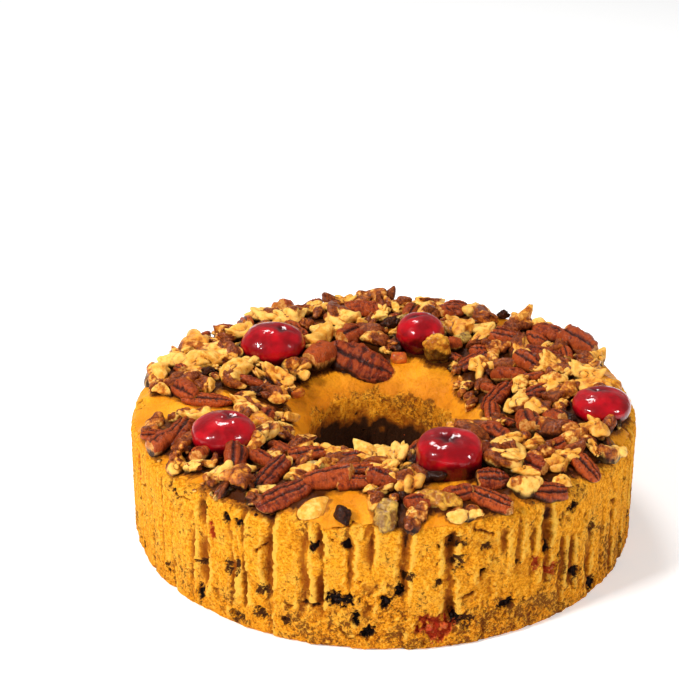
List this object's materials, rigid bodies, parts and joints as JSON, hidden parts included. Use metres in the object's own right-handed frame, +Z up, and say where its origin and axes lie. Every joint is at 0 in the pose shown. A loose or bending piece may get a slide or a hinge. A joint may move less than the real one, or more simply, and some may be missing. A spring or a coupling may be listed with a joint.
{
  "type": "fruit cake",
  "caption": "Fluted ring-shaped fruit cake with a round centre hole, its crown covered with glace cherries, pecans, walnuts and candied fruit.",
  "frame": {"origin": "centre of the hole, on the plane that the cake stands on", "axes": "+Z up along the hole's axis; -Y toward the side that shows a cherry and bare dough at the shoulder"},
  "size_m": [0.1745, 0.1747, 0.0585],
  "materials": {
    "crumb": "golden baked crumb, matte",
    "cherry": "deep red, glossy with syrup",
    "pecan": "red-brown ridged skin, satin with syrup",
    "walnut": "golden with brown skins, satin with syrup",
    "candied_fruit": "amber, glossy"
  },
  "bodies": {
    "root": {"cake": "crumb", "candied_fruit_01": "candied_fruit", "candied_fruit_02": "candied_fruit", "candied_fruit_03": "candied_fruit", "candied_fruit_04": "candied_fruit", "candied_fruit_05": "candied_fruit", "cherry_01": "cherry", "cherry_02": "cherry", "cherry_03": "cherry", "cherry_04": "cherry", "cherry_05": "cherry", "pecan_01": "pecan", "pecan_02": "pecan", "pecan_03": "pecan", "pecan_04": "pecan", "pecan_05": "pecan", "pecan_06": "pecan", "pecan_07": "pecan", "pecan_08": "pecan", "pecan_09": "pecan", "pecan_10": "pecan", "pecan_11": "pecan", "pecan_12": "pecan", "pecan_13": "pecan", "pecan_14": "pecan", "pecan_15": "pecan", "pecan_16": "pecan", "pecan_17": "pecan", "walnut_01": "walnut", "walnut_02": "walnut", "walnut_03": "walnut", "walnut_04": "walnut", "walnut_05": "walnut", "walnut_06": "walnut", "walnut_07": "walnut", "walnut_08": "walnut", "walnut_09": "walnut", "walnut_10": "walnut", "walnut_11": "walnut", "walnut_12": "walnut", "walnut_13": "walnut", "walnut_14": "walnut", "walnut_15": "walnut", "walnut_16": "walnut", "walnut_17": "walnut", "walnut_18": "walnut", "walnut_19": "walnut", "walnut_20": "walnut", "walnut_21": "walnut", "walnut_22": "walnut", "walnut_23": "walnut", "walnut_24": "walnut", "walnut_25": "walnut", "walnut_26": "walnut", "walnut_27": "walnut", "walnut_28": "walnut", "walnut_29": "walnut", "walnut_30": "walnut"}
  },
  "joints": []
}
